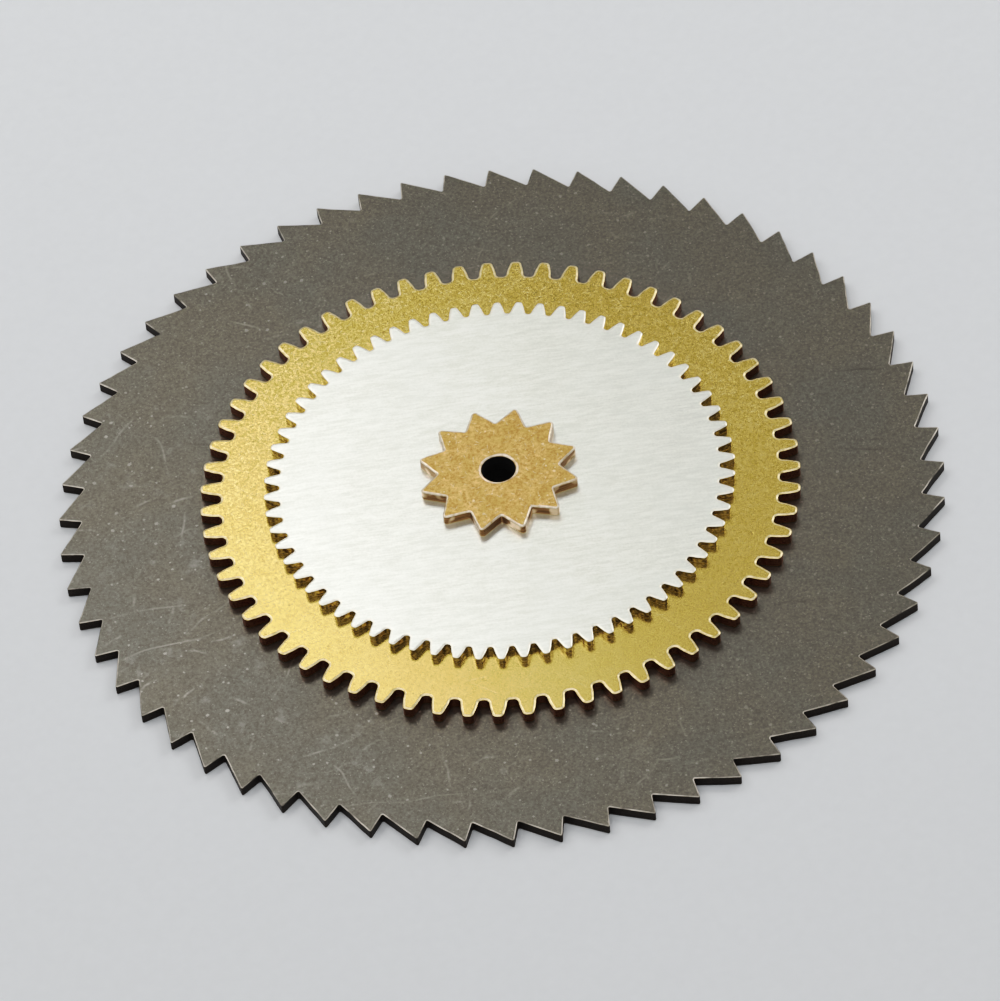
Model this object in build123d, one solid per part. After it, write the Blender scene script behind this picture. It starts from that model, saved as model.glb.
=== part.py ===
"""Four thin toothed wheels stacked face to face on one axis.

From the bottom up: a steel ratchet wheel with saw teeth, a brass spur wheel, a smaller
aluminium spur wheel and a bronze star wheel. Each wheel is a loose blank with the same
bore, so an arbor can pass through the whole stack, and each turns freely about +Z on
the wheel below it. The origin is on that axis, on the ratchet wheel's underside.
"""
from build123d import *
import os
from math import acos, cos, degrees, pi, radians, sin, tan

# ---- driving dimensions: millimetres and degrees ----

BORE_RADIUS = 0.75
BORE_CHAMFER = 0.08  # on the star wheel's top face, where the stack's bore opens

# Steel ratchet wheel. The corner radii are those of the sharp outline, before rounding.
RATCHET_TEETH = 60
RATCHET_CORNER_RADIUS = 19.25
RATCHET_ROOT_RADIUS = 18.2
RATCHET_FACE_ANGLE = 0.6  # from a tooth's corner to the root in front of its steep face
RATCHET_ROUNDING = 0.07
RATCHET_THICKNESS = 0.5
RATCHET_PHASE = 3.2

# Spur wheels. Both have involute teeth of full depth.
ADDENDUM = 1.0  # in modules
DEDENDUM = 1.25  # in modules
FLANK_POINTS = 5

BRASS_TEETH = 63
BRASS_MODULE = 0.4
BRASS_PRESSURE_ANGLE = 14.5
BRASS_TIP_ROUNDING = 0.19
BRASS_ROOT_FILLET = 0.2
BRASS_THICKNESS = 0.55
BRASS_PHASE = -9.03

ALUMINIUM_TEETH = 66
ALUMINIUM_MODULE = 0.3
ALUMINIUM_PRESSURE_ANGLE = 20.0
ALUMINIUM_TIP_ROUNDING = 0.13
ALUMINIUM_ROOT_FILLET = 0.13
ALUMINIUM_THICKNESS = 0.4
ALUMINIUM_PHASE = -6.63

# Bronze star wheel: straight-sided points with narrow valleys between them.
STAR_POINTS = 12
STAR_TIP_RADIUS = 3.62  # of the sharp outline, before rounding
STAR_VALLEY_RADIUS = 2.65
STAR_TIP_ROUNDING = 0.16
STAR_VALLEY_ROUNDING = 0.08
STAR_EDGE_CHAMFER = 0.07
STAR_THICKNESS = 0.5
STAR_PHASE = 13.5

# ---- heights of the four undersides, worked out from the thicknesses ----

RATCHET_Z = 0.0
BRASS_Z = RATCHET_Z + RATCHET_THICKNESS
ALUMINIUM_Z = BRASS_Z + BRASS_THICKNESS
STAR_Z = ALUMINIUM_Z + ALUMINIUM_THICKNESS

ON_CIRCLE = 1e-4  # how near a vertex lies to a circle to count as on it


def polar(radius, angle):
    """The point at a radius and an angle in degrees."""
    return (radius * cos(radians(angle)), radius * sin(radians(angle)))


def involute(angle):
    """The involute function of an angle in radians."""
    return tan(angle) - angle


def corners_at(outline, radius):
    """The vertices of an outline that lie on a circle about the axis."""
    return [v for v in outline.vertices() if abs(Vector(v.X, v.Y).length - radius) < ON_CIRCLE]


def wheel(outline, thickness, z):
    """A flat wheel: the outline with the bore taken out, raised from its underside."""
    blank = outline - Circle(BORE_RADIUS)
    return Pos(0, 0, z) * extrude(blank, thickness)


def spur_outline(teeth, module, pressure_angle, phase, tip_rounding, root_fillet):
    """The outline of a spur wheel, with its first tooth centred at the phase angle."""
    pitch_radius = teeth * module / 2
    tip_radius = pitch_radius + ADDENDUM * module
    root_radius = pitch_radius - DEDENDUM * module
    base_radius = pitch_radius * cos(radians(pressure_angle))
    step = 360 / teeth

    def half_thickness(radius):
        """Half a tooth's angular thickness at a radius, constant below the base circle."""
        at_radius = acos(min(1.0, base_radius / radius))
        return degrees(pi / (2 * teeth) + involute(radians(pressure_angle)) - involute(at_radius))

    spacing = (tip_radius - root_radius) / (FLANK_POINTS - 1)
    flank = [(r, half_thickness(r)) for r in (root_radius + i * spacing for i in range(FLANK_POINTS))]
    half_root = flank[0][1]

    edges = []
    for tooth in range(teeth):
        centre = phase + tooth * step
        rising = [polar(r, centre - half) for r, half in flank]
        falling = [polar(r, centre + half) for r, half in reversed(flank)]
        next_rise = polar(root_radius, centre + step - half_root)
        edges.append(Spline(*rising))
        edges.append(ThreePointArc(rising[-1], polar(tip_radius, centre), falling[0]))
        edges.append(Spline(*falling))
        edges.append(ThreePointArc(falling[-1], polar(root_radius, centre + step / 2), next_rise))

    outline = make_face(edges)
    outline = fillet(corners_at(outline, root_radius), root_fillet)
    return fillet(corners_at(outline, tip_radius), tip_rounding)


def ratchet_wheel():
    """Saw teeth: seen from above, each rises anticlockwise to its tip, then drops steeply."""
    step = 360 / RATCHET_TEETH
    corners = []
    for tooth in range(RATCHET_TEETH):
        tip = RATCHET_PHASE + tooth * step
        corners.append(polar(RATCHET_CORNER_RADIUS, tip))
        corners.append(polar(RATCHET_ROOT_RADIUS, tip + RATCHET_FACE_ANGLE))
    outline = make_face(Polyline(*corners, close=True))
    outline = fillet(outline.vertices(), RATCHET_ROUNDING)
    return wheel(outline, RATCHET_THICKNESS, RATCHET_Z)


def brass_wheel():
    outline = spur_outline(
        BRASS_TEETH,
        BRASS_MODULE,
        BRASS_PRESSURE_ANGLE,
        BRASS_PHASE,
        BRASS_TIP_ROUNDING,
        BRASS_ROOT_FILLET,
    )
    return wheel(outline, BRASS_THICKNESS, BRASS_Z)


def aluminium_wheel():
    outline = spur_outline(
        ALUMINIUM_TEETH,
        ALUMINIUM_MODULE,
        ALUMINIUM_PRESSURE_ANGLE,
        ALUMINIUM_PHASE,
        ALUMINIUM_TIP_ROUNDING,
        ALUMINIUM_ROOT_FILLET,
    )
    return wheel(outline, ALUMINIUM_THICKNESS, ALUMINIUM_Z)


def star_wheel():
    """Twelve points with blunted tips; the top edges and the mouth of the bore are chamfered."""
    step = 360 / STAR_POINTS
    corners = []
    for point in range(STAR_POINTS):
        tip = STAR_PHASE + point * step
        corners.append(polar(STAR_TIP_RADIUS, tip))
        corners.append(polar(STAR_VALLEY_RADIUS, tip + step / 2))
    outline = make_face(Polyline(*corners, close=True))
    outline = fillet(corners_at(outline, STAR_VALLEY_RADIUS), STAR_VALLEY_ROUNDING)
    outline = fillet(corners_at(outline, STAR_TIP_RADIUS), STAR_TIP_ROUNDING)
    star = wheel(outline, STAR_THICKNESS, STAR_Z)

    top = star.faces().sort_by(Axis.Z)[-1]
    star = chamfer(top.outer_wire().edges(), STAR_EDGE_CHAMFER)
    top = star.faces().sort_by(Axis.Z)[-1]
    return chamfer(top.inner_wires()[0].edges(), BORE_CHAMFER)


PARTS = {
    "steel_ratchet_wheel": ratchet_wheel,
    "brass_spur_wheel": brass_wheel,
    "aluminium_spur_wheel": aluminium_wheel,
    "bronze_star_wheel": star_wheel,
}

os.makedirs("parts", exist_ok=True)
for name, make in PARTS.items():
    export_step(make(), f"parts/{name}.step")
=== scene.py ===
"""The looks of the wheel stack: edges, finishes, lights, floor and camera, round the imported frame."""
import math

import bmesh
import bpy
from mathutils import Matrix, Vector, geometry, noise


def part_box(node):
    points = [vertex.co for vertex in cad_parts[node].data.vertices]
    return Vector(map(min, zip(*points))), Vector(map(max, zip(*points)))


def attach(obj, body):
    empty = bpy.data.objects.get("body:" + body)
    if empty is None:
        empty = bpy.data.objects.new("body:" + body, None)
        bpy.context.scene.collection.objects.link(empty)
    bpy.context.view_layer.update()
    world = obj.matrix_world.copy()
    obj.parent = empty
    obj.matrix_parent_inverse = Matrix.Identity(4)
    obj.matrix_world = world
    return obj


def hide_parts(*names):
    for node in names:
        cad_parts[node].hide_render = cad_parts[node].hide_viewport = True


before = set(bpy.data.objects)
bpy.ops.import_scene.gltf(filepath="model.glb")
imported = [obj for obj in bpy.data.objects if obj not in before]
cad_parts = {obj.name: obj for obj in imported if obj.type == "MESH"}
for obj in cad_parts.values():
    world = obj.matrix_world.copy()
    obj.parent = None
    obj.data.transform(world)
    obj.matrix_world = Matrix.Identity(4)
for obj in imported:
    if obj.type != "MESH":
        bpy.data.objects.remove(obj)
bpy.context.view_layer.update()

MM = 0.001
SPOKE_COUNT = 180  # points in each circle about the axis
SPOKES = [
    Vector((math.cos(i * math.tau / SPOKE_COUNT), math.sin(i * math.tau / SPOKE_COUNT)))
    for i in range(SPOKE_COUNT)
]
FACE, WALL, BORE = 0, 1, 2  # a wheel's materials
AIR = 0.003  # mm left under each wheel, so that no two of them share a plane
FRONT_OF_MIX, BACK_OF_MIX, MIXED = 6, 7, 2  # a Mix node's sockets for colours


# ---------------------------------------------------------------- camera, from the fitted view

def make_camera():
    """The photograph's view: a long lens, 49 degrees above the horizon, rolled a little."""
    elevation = math.radians(48.97)
    roll = math.radians(-5.886)
    lens = 243.8
    unit = 13.0 * MM  # the brass wheel's outside radius
    offset = Vector((-0.01341, -0.05605, 22.534)) * unit  # of the aim point, in camera axes
    axis_shift = Vector((0.0128, 0.004, 0)) * unit  # from the brass wheel's centre to the stack's

    steep = Vector((0, -math.sin(elevation), -math.cos(elevation)))
    forward = Vector((0, math.cos(elevation), -math.sin(elevation)))
    right = math.cos(roll) * Vector((1, 0, 0)) - math.sin(roll) * steep
    down = math.sin(roll) * Vector((1, 0, 0)) + math.cos(roll) * steep
    aim = Vector((0, 0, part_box("brass_spur_wheel")[1].z)) - axis_shift
    place = aim - offset.x * right - offset.y * down - offset.z * forward

    data = bpy.data.cameras.new("camera")
    data.lens = lens
    data.sensor_width = 36
    data.clip_start = 0.01
    data.clip_end = 10
    camera = bpy.data.objects.new("camera", data)
    axes = Matrix((right, -down, -forward)).transposed()
    camera.matrix_world = Matrix.Translation(place) @ axes.to_4x4()
    bpy.context.scene.collection.objects.link(camera)
    bpy.context.scene.camera = camera


# ---------------------------------------------------------------- shader graphs

class Graph:
    """A material's nodes, with short calls for what the finishes share. Lengths are in millimetres."""

    def __init__(self, name, metallic=1.0):
        self.material = bpy.data.materials.new(name)
        self.material.use_nodes = True
        self.tree = self.material.node_tree
        self.shader = self.tree.nodes["Principled BSDF"]
        self.shader.inputs["Metallic"].default_value = metallic
        place = self.add("ShaderNodeTexCoord").outputs["Object"]
        self.mm = self.vector("SCALE", place, scale=1 / MM)

    def add(self, kind, **settings):
        node = self.tree.nodes.new(kind)
        for name, value in settings.items():
            setattr(node, name, value)
        return node

    def feed(self, socket, value):
        if isinstance(value, bpy.types.NodeSocket):
            self.tree.links.new(value, socket)
        else:
            socket.default_value = value

    def maths(self, operation, a, b=0.0, c=0.0):
        node = self.add("ShaderNodeMath", operation=operation)
        for socket, value in zip(node.inputs, (a, b, c)):
            self.feed(socket, value)
        return node.outputs[0]

    def vector(self, operation, a, b=(0, 0, 0), scale=1.0):
        node = self.add("ShaderNodeVectorMath", operation=operation)
        self.feed(node.inputs[0], a)
        self.feed(node.inputs[1], b)
        node.inputs[3].default_value = scale
        return node.outputs[0]

    def axes(self, vector):
        """A vector's x, y and z."""
        node = self.add("ShaderNodeSeparateXYZ")
        self.feed(node.inputs[0], vector)
        return node.outputs

    def remap(self, value, low, high, to_low=0.0, to_high=1.0):
        node = self.add("ShaderNodeMapRange")
        for socket, given in zip(node.inputs, (value, low, high, to_low, to_high)):
            self.feed(socket, given)
        return node.outputs[0]

    def spread(self, value, reach, amount=1.0):
        """A noise's middle, 0.5 give or take reach, drawn out to run from 0 to amount."""
        return self.remap(value, 0.5 - reach, 0.5 + reach, 0.0, amount)

    def blend(self, factor, a, b):
        node = self.add("ShaderNodeMix", data_type="RGBA")
        self.feed(node.inputs["Factor"], factor)
        for socket, colour in ((FRONT_OF_MIX, a), (BACK_OF_MIX, b)):
            opaque = colour if isinstance(colour, bpy.types.NodeSocket) else (*colour, 1)
            self.feed(node.inputs[socket], opaque)
        return node.outputs[MIXED]

    def stretched(self, angle, along, across):
        """Coordinates in which a texture is drawn out along a direction in the wheel's plane."""
        node = self.add("ShaderNodeMapping", vector_type="TEXTURE")
        self.feed(node.inputs["Vector"], self.mm)
        node.inputs["Rotation"].default_value = (0, 0, math.radians(angle))
        node.inputs["Scale"].default_value = (along, across, 1)
        return node.outputs[0]

    def noise(self, size, detail=2.0, roughness=0.5, where=None, seed=0.0):
        """Soft noise from 0 to 1 whose blotches are about as large as size."""
        node = self.add("ShaderNodeTexNoise", noise_dimensions="4D")
        self.feed(node.inputs["Vector"], where or self.mm)
        node.inputs["W"].default_value = seed
        node.inputs["Scale"].default_value = 1 / size
        node.inputs["Detail"].default_value = detail
        node.inputs["Roughness"].default_value = roughness
        return node.outputs["Fac"]

    def scatter(self, cell, shift, sway_scale, sway):
        """Cells strewn over swaying coordinates: the coordinates, the cells, three chances for each."""
        wander = self.add("ShaderNodeTexNoise")
        self.feed(wander.inputs["Vector"], self.mm)
        wander.inputs["Scale"].default_value = sway_scale
        wander.inputs["Detail"].default_value = 1
        swayed = self.vector("SCALE", wander.outputs["Color"], scale=sway)
        place = self.vector("ADD", self.vector("ADD", self.mm, shift), swayed)
        cells = self.add("ShaderNodeTexVoronoi", voronoi_dimensions="2D")
        self.feed(cells.inputs["Vector"], place)
        cells.inputs["Scale"].default_value = 1 / cell
        chance = self.add("ShaderNodeSeparateColor")
        self.feed(chance.inputs[0], cells.outputs["Color"])
        return place, cells.outputs, chance.outputs

    def scratches(self, cell, width, share, direction, spread, seed, bend=0.02):
        """One fine, broken scratch in each cell of a scatter. share is how many cells have one."""
        shift = (seed * 37.0, seed * 19.0, 0)
        place, cells, chance = self.scatter(cell, shift, 1.6 / cell, 0.25 * cell)
        local = self.vector("SUBTRACT", place, cells["Position"])
        turn = self.add("ShaderNodeVectorRotate", rotation_type="Z_AXIS")
        self.feed(turn.inputs["Vector"], local)
        first = math.radians(-direction - spread / 2)
        angle = self.maths("MULTIPLY_ADD", chance[0], math.radians(spread), first)
        self.feed(turn.inputs["Angle"], angle)
        along, across = self.axes(turn.outputs[0])[:2]
        curve = self.maths("MULTIPLY", self.maths("SUBTRACT", chance[1], 0.5), bend * 2)
        bowed = self.maths("MULTIPLY_ADD", self.maths("MULTIPLY", along, along), curve, across)
        line = self.remap(self.maths("ABSOLUTE", bowed), 0, width, 1, 0)
        ends = self.remap(self.maths("ABSOLUTE", along), 0.1 * cell, 0.45 * cell, 1, 0)
        broken = self.spread(self.noise(cell * 0.18, detail=2, seed=seed + 0.5), 0.15)
        kept = self.maths("LESS_THAN", chance[2], share)
        faded = self.maths("MULTIPLY", self.maths("MULTIPLY", line, ends), broken)
        return self.maths("MULTIPLY", faded, kept)

    def specks(self, cell, radius, share, seed):
        """Small ragged specks, one in each cell of a scatter at most."""
        shift = (seed * 23.0, seed * 41.0, 0)
        _, cells, chance = self.scatter(cell, shift, 1.3 / radius, 1.2 * radius)
        size = self.maths("MULTIPLY", chance[1], radius / cell)
        dot = self.remap(self.maths("SUBTRACT", cells["Distance"], size), -0.02, 0.01, 1, 0)
        return self.maths("MULTIPLY", dot, self.maths("LESS_THAN", chance[0], share))

    def strongest(self, *masks):
        out = masks[0]
        for mask in masks[1:]:
            out = self.maths("MAXIMUM", out, mask)
        return out

    def wear_and_highlight(self):
        """1 on the rounded edges and 0 on the flats, as the mesh's own attribute says: where edge wear
        and painted highlights go.
        """
        return self.add("ShaderNodeAttribute", attribute_name="wear_and_highlight").outputs["Fac"]

    def rim_shade_and_highlight(self, tint, shade_line, shade_line_share, rim, highlight_share, patch, seed):
        """A tint with a painted dark line of shade where the rolled edge begins, and a bright, patchy
        painted highlight along the rim beyond it.

        The second and third arguments are the painted shade line's colour and greatest share, the
        fourth and fifth the painted highlight's colour and greatest share.
        """
        shade_line_mask = self.maths("PINGPONG", self.maths("MULTIPLY", self.wear_and_highlight(), 2), 1)
        tint = self.blend(self.maths("MULTIPLY", shade_line_mask, shade_line_share), tint, shade_line)
        edge_mask = self.remap(self.wear_and_highlight(), 0.5, 1)
        patches = self.spread(self.noise(patch, detail=2, seed=seed), 0.3, 1.3)
        edge_mask = self.maths("MULTIPLY", edge_mask, patches)
        return self.blend(self.maths("MINIMUM", edge_mask, highlight_share), tint, rim)

    def diffuse_rim_highlight(self):
        """Makes the rolled edge a little less metallic, so that its painted highlight looks pale from
        all sides.
        """
        self.feed(self.shader.inputs["Metallic"], self.remap(self.wear_and_highlight(), 0, 1, 1.0, 0.8))

    def finish(self, colour, roughness, height, depth):
        """Wires the surface. height is in units of depth, which is in millimetres."""
        self.feed(self.shader.inputs["Base Color"], colour)
        self.feed(self.shader.inputs["Roughness"], roughness)
        bump = self.add("ShaderNodeBump")
        bump.inputs["Distance"].default_value = depth * MM
        self.feed(bump.inputs["Height"], height)
        self.feed(self.shader.inputs["Normal"], bump.outputs[0])
        return self.material


def steel_face():
    """Dark brown-grey oxide on rolled steel, with patches, fine specks and soft scratches.

    The smudges, scuffs and specks are thickest toward -X.
    """
    g = Graph("patinated_steel")
    grain = g.noise(0.12, detail=4, roughness=0.7, seed=2)
    x = g.axes(g.mm)[0]
    # A patchy weight that grows toward -X, for the smudges, scuffs and specks.
    patchy = g.spread(g.noise(6.0, detail=2, seed=4), 0.12)
    patchy_toward_minus_x = g.maths("MULTIPLY", patchy, g.remap(x, 12, -14))
    patches = g.spread(g.noise(4.0, detail=3, seed=1), 0.10)
    tint = g.blend(patches, (0.168, 0.166, 0.142), (0.184, 0.169, 0.133))
    tint = g.blend(g.spread(g.noise(0.8, detail=3, seed=3), 0.16, 0.35), tint, (0.152, 0.139, 0.119))
    tint = g.blend(g.spread(grain, 0.13, 0.6), (0.108, 0.100, 0.086), tint)
    flecks = g.remap(g.noise(0.09, detail=2, roughness=0.6, seed=10), 0.60, 0.70)
    smudges = g.remap(g.noise(0.9, detail=4, roughness=0.7, seed=40), 0.57, 0.70)
    smudges = g.maths("MULTIPLY", smudges, patchy_toward_minus_x)
    tint = g.blend(g.maths("MULTIPLY", flecks, 0.28), tint, (0.36, 0.33, 0.285))
    tint = g.blend(g.maths("MULTIPLY", smudges, 0.35), tint, (0.36, 0.34, 0.30))
    scuffs = g.strongest(
        g.scratches(1.5, 0.09, 0.45, 20, 140, 1, bend=0.25),
        g.scratches(3.5, 0.07, 0.5, 60, 120, 2, bend=0.06),
        g.scratches(8.0, 0.06, 0.5, -25, 100, 3, bend=0.02),
    )
    scuffs = g.maths("MULTIPLY", scuffs, g.maths("MULTIPLY_ADD", patchy_toward_minus_x, 0.85, 0.15))
    specks = g.strongest(g.specks(0.9, 0.09, 0.35, 5), g.specks(0.5, 0.06, 0.3, 6))
    specks = g.maths("MULTIPLY", specks, g.maths("MULTIPLY_ADD", patchy_toward_minus_x, 0.7, 0.3))
    marks = g.scratches(4.5, 0.10, 0.12, -10, 20, 7, bend=0.03)
    tint = g.blend(g.maths("MULTIPLY", scuffs, 0.55), tint, (0.44, 0.41, 0.35))
    tint = g.blend(g.maths("MULTIPLY", specks, 0.45), tint, (0.52, 0.49, 0.43))
    tint = g.blend(g.maths("MULTIPLY", marks, 0.7), tint, (0.07, 0.062, 0.055))
    rubbed = g.maths("MULTIPLY", g.wear_and_highlight(), g.spread(g.noise(0.7, detail=3, seed=8), 0.14))
    tint = g.blend(g.maths("MULTIPLY", rubbed, 0.85), tint, (0.62, 0.56, 0.47))
    roughness = g.maths("MULTIPLY_ADD", g.wear_and_highlight(), -0.06, g.remap(grain, 0.3, 0.7, 0.48, 0.38))
    height = g.maths("MULTIPLY_ADD", g.strongest(scuffs, specks), 0.4, grain)
    return g.finish(tint, roughness, height, 0.004)


def steel_wall():
    """The filed sides of the teeth, painted almost black as shade and the dark surroundings they
    reflect.
    """
    g = Graph("steel_cut")
    streaks = g.noise(0.05, detail=2, seed=9)
    tint = g.blend(g.spread(streaks, 0.15), (0.022, 0.018, 0.016), (0.060, 0.048, 0.040))
    return g.finish(tint, g.remap(streaks, 0.3, 0.7, 0.45, 0.6), streaks, 0.006)


def brass_face():
    """Yellow brass: a fine olive mottle, short light flecks, small pits and polishing scratches.

    The mottle, flecks, pits and blots are strongest toward +Y and almost gone toward -Y: partly the
    brass's own unevenness, partly painted light, standing in for the strong light that washes the
    mottle out toward -Y.
    """
    g = Graph("brass")
    mottle = g.noise(0.13, detail=4, roughness=0.7, seed=12)
    x, y = g.axes(g.mm)[:2]
    side = g.maths("MULTIPLY_ADD", x, 0.2, y)
    # How strongly the mottle shows: partly real, partly painted light that hides it toward -Y.
    mottle_weight = g.remap(side, -9, 12, 0.15, 2.4)
    depth = g.remap(side, -9, 6, 0.35, 1)
    patches = g.spread(g.noise(3.0, detail=3, seed=11), 0.15)
    tint = g.blend(patches, (0.71, 0.50, 0.150), (0.75, 0.55, 0.182))
    tint = g.blend(g.spread(g.noise(0.6, detail=2, seed=13), 0.15, 0.35), tint, (0.715, 0.495, 0.125))
    clouds = g.spread(g.noise(0.8, detail=3, seed=44), 0.15, 0.22)
    tint = g.blend(clouds, tint, (0.98, 0.74, 0.30))
    shade = g.maths("SUBTRACT", g.spread(mottle, 0.13, 0.6), 0.3)
    tint = g.blend(g.maths("MULTIPLY_ADD", shade, mottle_weight, 0.28), (0.41, 0.288, 0.068), tint)
    flecks = g.strongest(
        g.scratches(0.42, 0.036, 0.6, 0, 180, 14, bend=0.5),
        g.scratches(0.30, 0.030, 0.5, 0, 180, 15, bend=0.5),
    )
    polish = g.strongest(
        g.scratches(1.9, 0.022, 0.7, 25, 60, 16),
        g.scratches(3.3, 0.022, 0.6, -40, 50, 17),
    )
    pits = g.strongest(g.specks(0.5, 0.055, 0.35, 18), g.specks(1.3, 0.08, 0.3, 19))
    flecked = g.maths("MULTIPLY", flecks, g.maths("MULTIPLY", mottle_weight, 0.45))
    tint = g.blend(flecked, tint, (0.92, 0.73, 0.34))
    tint = g.blend(g.maths("MULTIPLY", polish, 0.4), tint, (0.90, 0.71, 0.34))
    pitted = g.maths("MULTIPLY", pits, g.maths("MULTIPLY", depth, 0.65))
    tint = g.blend(pitted, tint, (0.32, 0.20, 0.055))
    blots = g.remap(g.noise(0.17, detail=2, roughness=0.6, seed=45), 0.58, 0.66)
    blotted = g.maths("MULTIPLY", blots, g.remap(side, -2, 12, 0.1, 0.65))
    tint = g.blend(blotted, tint, (0.27, 0.20, 0.045))
    # Painted light: a dark line of shade where the edge rolls over, and a pale painted highlight along
    # the rim.
    tint = g.rim_shade_and_highlight(tint, (0.42, 0.26, 0.08), 0.45, (1.0, 0.82, 0.45), 0.9, 0.25, 38)
    roughness = g.maths("MULTIPLY_ADD", g.wear_and_highlight(), 0.08, g.remap(mottle, 0.3, 0.7, 0.30, 0.22))
    g.diffuse_rim_highlight()
    height = g.maths("MULTIPLY_ADD", pits, -1.2, g.maths("MULTIPLY_ADD", polish, -0.4, mottle))
    return g.finish(tint, roughness, g.maths("MULTIPLY", height, depth), 0.004)


def brass_wall():
    """The cut sides of the teeth, dull, painted a dark red-brown that stands in for shade and the dim
    steel they reflect.
    """
    g = Graph("brass_cut")
    marks = g.noise(0.06, detail=2, seed=20)
    tint = g.blend(g.spread(marks, 0.15), (0.24, 0.075, 0.06), (0.50, 0.23, 0.13))
    return g.finish(tint, g.remap(marks, 0.3, 0.7, 0.25, 0.4), marks, 0.006)


def aluminium_face():
    """Bright sheet brushed one way, a few degrees off the X axis."""
    g = Graph("aluminium")
    grain_angle = 4.0
    long_grain = g.noise(0.13, detail=3, where=g.stretched(grain_angle, 7, 1), seed=21)
    fine_lines = g.stretched(grain_angle - 3, 8, 1)
    fine_grain = g.noise(0.07, detail=3, roughness=0.7, where=fine_lines, seed=22)
    cross_grain = g.noise(0.11, detail=3, roughness=0.7, seed=23)
    grain = g.maths("MULTIPLY_ADD", long_grain, 0.35, g.maths("MULTIPLY", fine_grain, 0.35))
    grain = g.maths("MULTIPLY_ADD", cross_grain, 0.3, grain)
    tint = g.blend(g.spread(grain, 0.08), (0.80, 0.805, 0.70), (1.0, 1.0, 0.90))
    tint = g.blend(g.spread(g.noise(2.6, detail=2, seed=24), 0.15, 0.3), tint, (0.93, 0.95, 0.87))
    dents = g.scratches(1.5, 0.02, 0.3, 0, 180, 25, bend=0.2)
    tint = g.blend(g.maths("MULTIPLY", dents, 0.4), tint, (0.68, 0.68, 0.60))
    # A painted highlight: a cream rim along the rolled edges.
    tint = g.blend(g.maths("MULTIPLY", g.wear_and_highlight(), 0.9), tint, (1.0, 0.95, 0.80))
    roughness = g.maths("MULTIPLY_ADD", g.wear_and_highlight(), -0.02, g.remap(grain, 0.4, 0.8, 0.38, 0.31))
    g.diffuse_rim_highlight()
    frames = {"convert_from": "OBJECT", "convert_to": "WORLD"}
    across = g.add("ShaderNodeVectorTransform", vector_type="VECTOR", **frames)
    turn = math.radians(grain_angle + 90)
    across.inputs[0].default_value = (math.cos(turn), math.sin(turn), 0)
    g.feed(g.shader.inputs["Tangent"], across.outputs[0])
    g.shader.inputs["Anisotropic"].default_value = 0.35
    height = g.maths("MULTIPLY_ADD", dents, -0.5, grain)
    return g.finish(tint, roughness, height, 0.006)


def aluminium_wall():
    """The cut sides of the teeth: torn, half painted dark brown as shade and the dim brass they
    reflect, half bright enough to mirror the brass below.
    """
    g = Graph("aluminium_cut")
    marks = g.noise(0.14, detail=3, roughness=0.6, seed=26)
    tint = g.blend(g.spread(marks, 0.10), (0.16, 0.10, 0.07), (0.84, 0.78, 0.68))
    return g.finish(tint, g.remap(marks, 0.3, 0.7, 0.3, 0.18), marks, 0.01)


def bronze_face():
    """Orange-brown bronze, densely speckled, with a painted highlight on its rolled edges and a painted
    line of shade just inside them.
    """
    g = Graph("bronze")
    mottle = g.noise(0.13, detail=4, roughness=0.75, seed=31)
    patches = g.spread(g.noise(1.3, detail=2, seed=32), 0.15)
    tint = g.blend(patches, (0.75, 0.445, 0.16), (0.85, 0.52, 0.195))
    olive = g.spread(g.noise(0.6, detail=3, seed=37), 0.12, 0.7)
    tint = g.blend(olive, tint, (0.50, 0.335, 0.10))
    tint = g.blend(g.spread(mottle, 0.10, 0.8), (0.36, 0.20, 0.065), tint)
    flecks = g.strongest(
        g.scratches(0.33, 0.036, 0.6, 0, 180, 33, bend=0.6),
        g.specks(0.4, 0.06, 0.25, 34),
    )
    pits = g.specks(0.55, 0.06, 0.35, 35)
    tint = g.blend(g.maths("MULTIPLY", flecks, 0.55), tint, (0.92, 0.77, 0.47))
    tint = g.blend(g.maths("MULTIPLY", pits, 0.6), tint, (0.27, 0.16, 0.07))
    # Painted light: a dark line of shade where the edge rolls over, and a pale painted highlight along
    # the rim.
    tint = g.rim_shade_and_highlight(tint, (0.34, 0.19, 0.08), 0.5, (1.0, 0.87, 0.66), 0.95, 0.2, 39)
    roughness = g.maths("MULTIPLY_ADD", g.wear_and_highlight(), -0.04, g.remap(mottle, 0.3, 0.7, 0.42, 0.34))
    g.diffuse_rim_highlight()
    height = g.maths("MULTIPLY_ADD", g.strongest(flecks, pits), -0.6, mottle)
    return g.finish(tint, roughness, height, 0.005)


def bronze_wall():
    """The sheared sides: brown, with fine lines along them, and bright again at the foot."""
    g = Graph("bronze_cut")
    lines = g.noise(0.03, detail=2, where=g.vector("MULTIPLY", g.mm, (0.03, 0.03, 1)), seed=36)
    tint = g.blend(g.spread(lines, 0.15), (0.13, 0.065, 0.03), (0.38, 0.22, 0.10))
    tint = g.blend(g.remap(g.noise(0.6, detail=1, seed=43), 0.53, 0.63), tint, (0.90, 0.64, 0.42))
    z = g.axes(g.mm)[2]
    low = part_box("bronze_star_wheel")[0].z / MM
    foot = g.remap(z, low + 0.03, low + 0.08, 1, 0)
    tint = g.blend(g.maths("MULTIPLY", foot, 0.85), tint, (0.92, 0.68, 0.42))
    return g.finish(tint, g.remap(lines, 0.3, 0.7, 0.25, 0.38), lines, 0.006)


def bore_wall():
    """The inside of every bore, painted near black as shade."""
    g = Graph("bore_painted_shade", metallic=0.0)
    shade_noise = g.noise(0.2, detail=2, seed=42)
    tint = g.blend(shade_noise, (0.004, 0.004, 0.004), (0.012, 0.010, 0.009))
    return g.finish(tint, 0.8, shade_noise, 0.004)


# ---------------------------------------------------------------- wheel meshes, in millimetres

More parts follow.
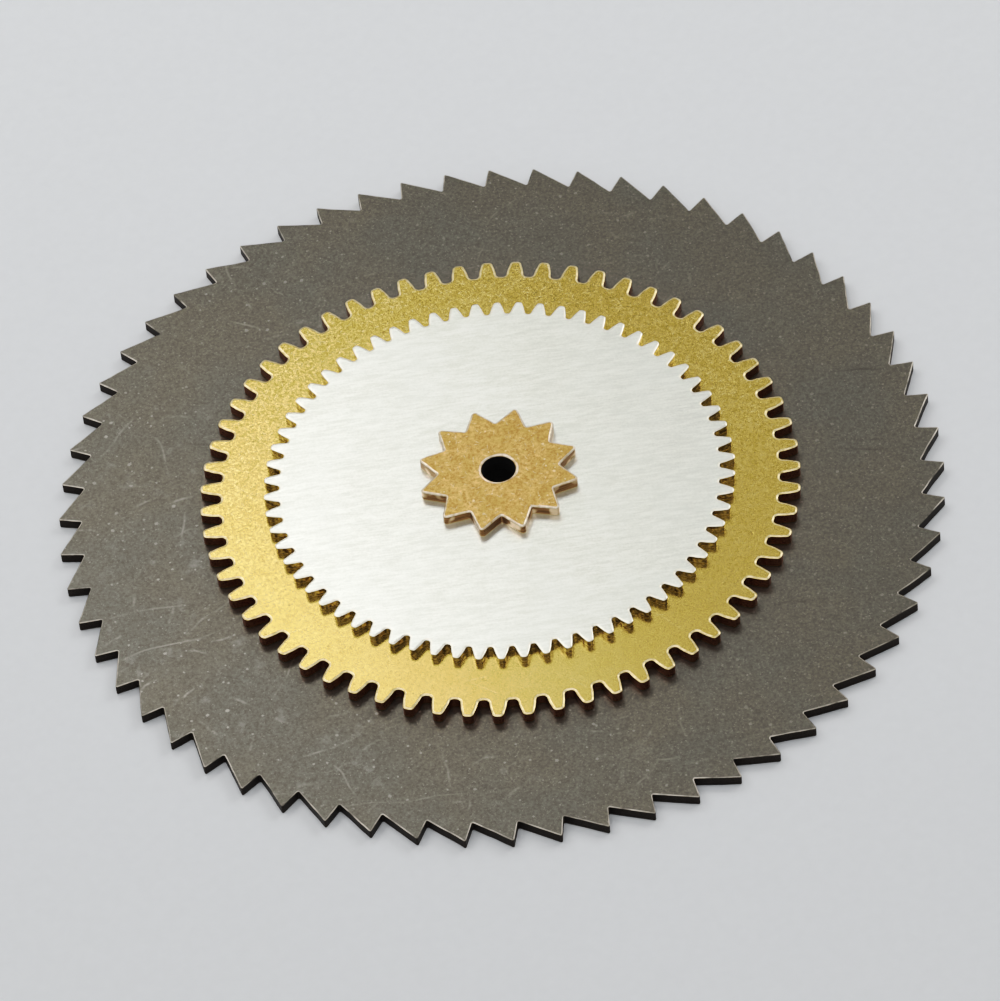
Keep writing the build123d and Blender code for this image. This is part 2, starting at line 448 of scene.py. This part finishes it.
UNDER_EDGE = (0.03, 0.02)  # width and drop of the rolled edge round an underside
DENT_DEPTH = 0.04
UNEVENNESS = 0.25  # how much an edge's width and drop vary, as a share
MOUTH = 0.04  # how far a bore's rounded mouth reaches, across the face and down the bore
MOUTH_STEP = 0.012  # how far the middle of that rounding stands off both
COINCIDENT = 1e-7  # metres between points that count as one
LEVEL = 1e-6  # metres off the underside that count as on it


def underside_loops(node):
    """The closed loops of points round a wheel's flat underside: the outline, then the bore."""
    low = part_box(node)[0].z
    mesh = bmesh.new()
    mesh.from_mesh(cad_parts[node].data)
    bmesh.ops.remove_doubles(mesh, verts=mesh.verts, dist=COINCIDENT)
    mesh.verts.index_update()
    facing_down = [f for f in mesh.faces if f.normal.z < -0.99]
    flat = {f for f in facing_down if abs(f.calc_center_median().z - low) < LEVEL}
    following = {}
    for face in flat:
        for loop in face.loops:
            if sum(other in flat for other in loop.edge.link_faces) == 1:
                following[loop.link_loop_next.vert.index] = loop.vert.index
    places = {v.index: Vector(v.co.xy) / MM for v in mesh.verts}
    mesh.free()

    loops = []
    while following:
        start = min(following)
        after = following.pop(start)
        chain = [start]
        while after != start:
            chain.append(after)
            after = following.pop(after)
        loops.append([places[i] for i in chain])
    return sorted(loops, key=lambda points: -max(p.length for p in points))


def anticlockwise(points):
    area = sum(a.cross(b) for a, b in zip(points, points[1:] + points[:1]))
    return points if area > 0 else points[::-1]


def densify(points, longest):
    """The same outline with no run longer than a length."""
    out = []
    for a, b in zip(points, points[1:] + points[:1]):
        count = max(1, math.ceil((b - a).length / longest))
        out += [a.lerp(b, i / count) for i in range(count)]
    return out


def outward(points):
    """At each point of an anticlockwise loop, the outward vector that offsets both its runs by 1."""
    out = []
    for before, here, after in zip(points[-1:] + points[:-1], points, points[1:] + points[:1]):
        first = (here - before).normalized()
        second = (after - here).normalized()
        first = Vector((first.y, -first.x))
        second = Vector((second.y, -second.x))
        out.append((first + second) / (1 + first.dot(second)))
    return out


def rolled_edge(width, drop):
    """An edge's section, from the flat to the wall.

    Each row says how far in, how far down, and how far the normal leans.
    """
    steps = 4
    lean = math.atan(2 * drop / width)
    section = []
    for i in range(steps + 1):
        along = i / steps
        section.append((width * (1 - along), drop * along ** 2, math.atan(math.tan(lean) * along)))
    wall_starts = drop + 0.012
    section.append((0.0, wall_starts, math.pi / 2))
    return section


class Skin:
    """Gathers one wheel's surface. Its rings run anticlockwise, seen from above.

    The rings follow each other out over the top, down the teeth, in under the wheel and up the bore.
    """

    def __init__(self):
        self.points = []
        self.normals = []
        self.edge_mask = []
        self.faces = []
        self.slots = []

    def ring(self, points, normals, wear_and_highlight=0.0):
        start = len(self.points)
        self.points += points
        self.normals += normals
        self.edge_mask += [wear_and_highlight] * len(points)
        return list(range(start, start + len(points)))

    def circle(self, radii, heights, lean, wear_and_highlight=0.0):
        """A ring round the axis. lean is its normal's, outward from straight up."""
        places = [Vector((*(s * r), h)) for s, r, h in zip(SPOKES, radii, heights)]
        normals = [Vector((*(s * math.sin(lean)), math.cos(lean))) for s in SPOKES]
        return self.ring(places, normals, wear_and_highlight)

    def band(self, ring, following, slot=FACE):
        """Quads between two rings that have as many points."""
        for i in range(len(ring)):
            j = (i + 1) % len(ring)
            self.faces.append((ring[i], following[i], following[j], ring[j]))
            self.slots.append(slot)

    def stitch(self, inner, outer, top):
        """Triangles over the flat face between a ring near the bore and one along the teeth."""
        ring = inner + outer
        edges = [(i, (i + 1) % len(inner)) for i in range(len(inner))]
        edges += [(i, i + 1) for i in range(len(inner), len(ring) - 1)] + [(len(ring) - 1, len(inner))]
        flat = [Vector(self.points[i].xy) for i in ring]
        found = geometry.delaunay_2d_cdt(flat, edges, [], 1, 1e-7)
        for triangle in found[2]:
            face = [found[3][i][0] for i in triangle]
            if all(i < len(inner) for i in face):
                continue
            a, b, c = (flat[i] for i in face)
            if ((b - a).cross(c - a) > 0) != top:
                face.reverse()
            self.faces.append([ring[i] for i in face])
            self.slots.append(FACE)

    def build(self, name, materials):
        mesh = bpy.data.meshes.new(name)
        mesh.from_pydata([p * MM for p in self.points], [], self.faces)
        for material in materials:
            mesh.materials.append(material)
        mesh.polygons.foreach_set("material_index", self.slots)
        mesh.polygons.foreach_set("use_smooth", [True] * len(self.faces))
        mesh.attributes.new("wear_and_highlight", "FLOAT", "POINT").data.foreach_set("value", self.edge_mask)
        mesh.normals_split_custom_set_from_vertices(self.normals)
        piece = bpy.data.objects.new(name, mesh)
        bpy.context.scene.collection.objects.link(piece)
        return piece


def rim(skin, points, out, z, up, section, vary):
    """Rings over an edge of the toothed outline, from the flat face to the wall."""
    rings = []
    for inset, drop, lean in section:
        run = zip(points, out, vary)
        places = [Vector((*(p - o * inset * v), z - up * drop * v)) for p, o, v in run]
        normals = [Vector((*(o.normalized() * math.sin(lean)), up * math.cos(lean))) for o in out]
        rings.append(skin.ring(places, normals, 1.0 if 0 < lean < math.pi / 2 else 0.0))
    return rings


def bore_rings(skin, radius, low, high, seed, burred):
    """The rings up the bore and out over its top mouth, from the underside to the top face."""
    def even(r, z, lean, wear_and_highlight=0.0):
        return skin.circle([r] * len(SPOKES), [z] * len(SPOKES), lean, wear_and_highlight)

    rings = [
        even(radius + MOUTH, low, math.pi),
        even(radius + MOUTH_STEP, low + MOUTH_STEP, -0.75 * math.pi, 1.0),
        even(radius, low + MOUTH, -0.5 * math.pi),
    ]
    if not burred:
        rings.append(even(radius, high - MOUTH, -0.5 * math.pi))
        rings.append(even(radius + MOUTH_STEP, high - MOUTH_STEP, -0.25 * math.pi, 1.0))
        rings.append(even(radius + MOUTH, high, 0.0))
        return rings

    # The burr: a torn inner lip, a crest a little above the face, and an uneven outer slope.
    broad = [noise.noise(Vector((*(s * 1.3), seed))) for s in SPOKES]
    torn = [noise.noise(Vector((*(s * 6.0), seed + 5))) for s in SPOKES]
    crest = [high + 0.008 + 0.01 * t for t in torn]
    inner = [radius - 0.02 * max(0.0, t) for t in torn]
    rings.append(even(radius, high - 0.07, -0.5 * math.pi))
    rings.append(skin.circle(inner, [high - 0.03] * len(SPOKES), -0.3 * math.pi, 1.0))
    rings.append(skin.circle([radius + 0.05 + 0.02 * t for t in torn], crest, -0.15, 1.0))
    outer = [radius + 0.11 + 0.05 * b + 0.02 * t for b, t in zip(broad, torn)]
    rings.append(skin.circle([r - 0.02 for r in outer], [(high + c) / 2 for c in crest], 0.3, 1.0))
    rings.append(skin.circle(outer, [high] * len(SPOKES), 0.0, 0.2))
    rings.append(skin.circle([r + MOUTH for r in outer], [high] * len(SPOKES), 0.0))
    return rings


def make_wheel(node, body, slot, materials, edge, longest, seed):
    """A wheel with rolled, slightly uneven edges, standing for its CAD node."""
    low, high = (corner.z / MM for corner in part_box(node))
    low += AIR
    outline, bore = (anticlockwise(loop) for loop in underside_loops(node))
    outline = densify(outline, longest)
    dents = [max(0.0, noise.noise(Vector((*(p * 1.1), seed)))) * DENT_DEPTH for p in outline]
    outline = [p - p.normalized() * d for p, d in zip(outline, dents)]
    out = outward(outline)
    vary = [1 + UNEVENNESS * noise.noise(Vector((*(p * 2.3), seed + 9))) for p in outline]
    root = min(p.length for p in outline)
    bore_radius = max(p.length for p in bore)
    near, wide = bore_radius + 0.4, root - 0.3  # radii of two rings on each flat
    burred = node == "bronze_star_wheel"

    skin = Skin()
    top = rim(skin, outline, out, high, 1, rolled_edge(*edge), vary)
    under = rim(skin, outline, out, low, -1, rolled_edge(*UNDER_EDGE), vary)[::-1]
    down_the_teeth = top + under
    wall_top = len(top) - 1
    for i, (ring, following) in enumerate(zip(down_the_teeth, down_the_teeth[1:])):
        skin.band(ring, following, WALL if i == wall_top else FACE)

    def flat(radius, z, lean):
        return skin.circle([radius] * len(SPOKES), [z] * len(SPOKES), lean)

    bore_up = bore_rings(skin, bore_radius, low, high, seed, burred)
    wide_under, near_under = flat(wide, low, math.pi), flat(near, low, math.pi)
    near_top, wide_top = flat(near, high, 0.0), flat(wide, high, 0.0)
    inside = [wide_under, near_under, *bore_up, near_top, wide_top]
    # These rings of the bore take the near-black painted shade.
    shaded_bore = bore_up[:3] if burred else bore_up[:5]
    for ring, following in zip(inside, inside[1:]):
        skin.band(ring, following, BORE if ring in shaded_bore else FACE)
    skin.stitch(wide_top, top[0], top=True)
    skin.stitch(wide_under, under[-1], top=False)

    piece = skin.build(f"{node}_skin", materials)
    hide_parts(node)
    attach(piece, body)


# ---------------------------------------------------------------- floor and light

def make_floor():
    """A pale sheet far larger than the stack, just under it."""
    reach = 1.5
    gap = 0.02 * MM
    mesh = bpy.data.meshes.new("floor")
    corners = [(-reach, -reach, 0), (reach, -reach, 0), (reach, reach, 0), (-reach, reach, 0)]
    mesh.from_pydata(corners, [], [(0, 1, 2, 3)])
    floor = bpy.data.objects.new("floor", mesh)
    floor.location.z = -gap
    bpy.context.scene.collection.objects.link(floor)
    g = Graph("floor_paper", metallic=0.0)
    fibre = g.noise(0.4, detail=3, seed=41)
    tint = g.blend(fibre, (0.80, 0.81, 0.82), (0.86, 0.87, 0.88))
    floor.data.materials.append(g.finish(tint, g.remap(fibre, 0, 1, 0.8, 0.95), fibre, 0.01))


def area_light(name, azimuth, elevation, distance, size, power):
    """A soft light that faces the stack. Azimuth is anticlockwise from +X, seen from above."""
    a, e = math.radians(azimuth), math.radians(elevation)
    towards = Vector((math.cos(a) * math.cos(e), math.sin(a) * math.cos(e), math.sin(e)))
    data = bpy.data.lights.new(name, "AREA")
    data.shape = "RECTANGLE"
    data.size, data.size_y = size
    data.energy = power
    light = bpy.data.objects.new(name, data)
    light.location = towards * distance
    light.rotation_euler = towards.to_track_quat("Z", "Y").to_euler()
    bpy.context.scene.collection.objects.link(light)


def make_world():
    """A dim room behind the stack, brighter in front of it."""
    world = bpy.data.worlds.new("studio")
    world.use_nodes = True
    tree = world.node_tree
    background = tree.nodes["Background"]
    background.inputs["Color"].default_value = (0.9, 0.95, 1.0, 1)
    direction = tree.nodes.new("ShaderNodeTexCoord")
    axes = tree.nodes.new("ShaderNodeSeparateXYZ")
    fade = tree.nodes.new("ShaderNodeMapRange")
    fade.inputs["From Min"].default_value = 0.2  # at this y of a direction, and beyond, it's dim
    fade.inputs["From Max"].default_value = -0.6
    fade.inputs["To Min"].default_value = 0.113
    fade.inputs["To Max"].default_value = 0.42
    tree.links.new(direction.outputs["Generated"], axes.inputs[0])
    tree.links.new(axes.outputs["Y"], fade.inputs["Value"])
    tree.links.new(fade.outputs[0], background.inputs["Strength"])
    bpy.context.scene.world = world


def make_lights():
    """Azimuth and elevation in degrees, distance and size in metres, power in watts."""
    area_light("left_softbox", 106, 55, 0.28, (0.08, 0.08), 0.10)
    area_light("left_lamp", 133, 46, 0.15, (0.06, 0.06), 0.016)
    area_light("left_low_lamp", 128, 28, 0.25, (0.08, 0.05), 0.02)
    area_light("left_high_softbox", 168, 52, 0.28, (0.12, 0.12), 0.12)
    area_light("right_back_softbox", 65, 40, 0.28, (0.12, 0.12), 0.054)
    area_light("right_softbox", 35, 40, 0.28, (0.12, 0.12), 0.16)
    area_light("back_strip", 90, 18, 0.30, (0.30, 0.06), 0.05)
    area_light("top_softbox", 270, 82, 0.30, (0.22, 0.22), 0.216)


def set_tone():
    """A camera's contrast: deeper darks, and highlights that roll off gently toward white."""
    view = bpy.context.scene.view_settings
    view.view_transform = "Standard"
    view.use_curve_mapping = True
    brightest = 1.517  # the scene value shown as white
    view.curve_mapping.white_level = (brightest, brightest, brightest)
    curve = view.curve_mapping.curves[3]
    shown = ((0.051, 0.033), (0.214, 0.233), (0.448, 0.456), (0.694, 0.608), (1.0, 0.795))
    for scene_value, shown_value in shown:
        curve.points.new(scene_value / brightest, shown_value)
    view.curve_mapping.update()


make_camera()
# The near-black painted shade inside every bore, shared by all four wheels.
bore_shade = bore_wall()
STEEL = (steel_face(), steel_wall(), bore_shade)
BRASS = (brass_face(), brass_wall(), bore_shade)
ALUMINIUM = (aluminium_face(), aluminium_wall(), bore_shade)
BRONZE = (bronze_face(), bronze_wall(), bore_shade)

# Node, body, material slot, finishes, rolled edge's width and drop, longest run, seed.
WHEELS = (
    ("steel_ratchet_wheel", "ratchet_wheel", "patinated_steel", STEEL, (0.05, 0.02), 0.15, 1),
    ("brass_spur_wheel", "brass_wheel", "brass", BRASS, (0.10, 0.03), 0.12, 2),
    ("aluminium_spur_wheel", "aluminium_wheel", "aluminium", ALUMINIUM, (0.09, 0.025), 0.12, 3),
    ("bronze_star_wheel", "star_wheel", "bronze", BRONZE, (0.10, 0.05), 0.1, 4),
)
for row in WHEELS:
    make_wheel(*row)
make_floor()
make_world()
make_lights()
set_tone()

bpy.context.view_layer.update()
